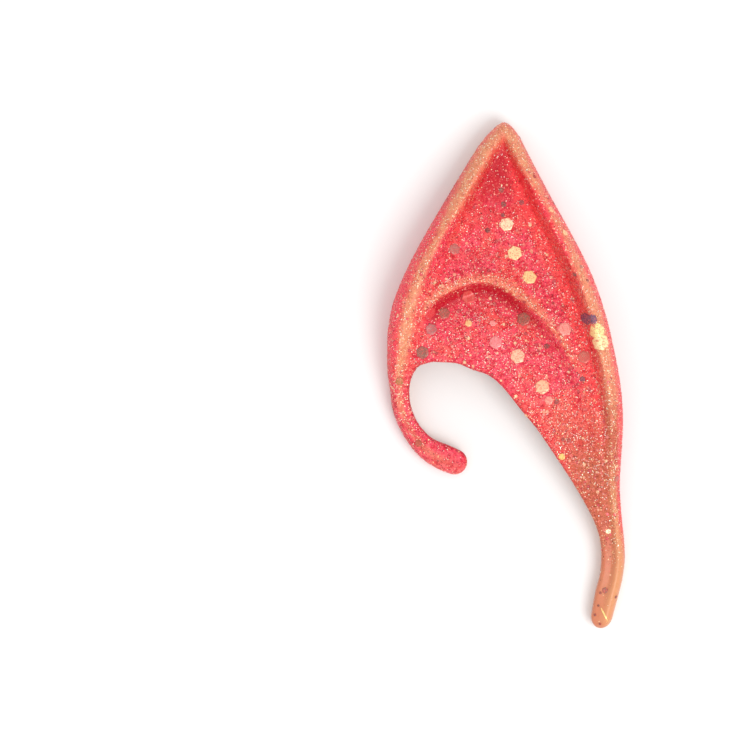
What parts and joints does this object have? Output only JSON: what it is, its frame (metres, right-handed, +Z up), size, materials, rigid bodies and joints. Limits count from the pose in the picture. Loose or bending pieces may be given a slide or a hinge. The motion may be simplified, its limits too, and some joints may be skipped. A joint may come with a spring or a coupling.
{
  "type": "elf ear tip",
  "caption": "Hollow moulded elf ear tip with a rolled rim, a curved fold, a front hook and a long tail, open along the arch between them to slip over an ear.",
  "frame": {"origin": "centre of the surface that the ear tip lies on, under the middle of its bounding box", "axes": "+Z up out of the front, +Y along its length towards the point, +X from the hook's side to the tail's side"},
  "size_m": [0.0564, 0.1198, 0.0171],
  "materials": {
    "ear_tip": "soft latex, sprayed pink over peach and covered with glitter"
  },
  "bodies": {
    "root": {"ear_tip": "ear_tip"}
  },
  "joints": []
}
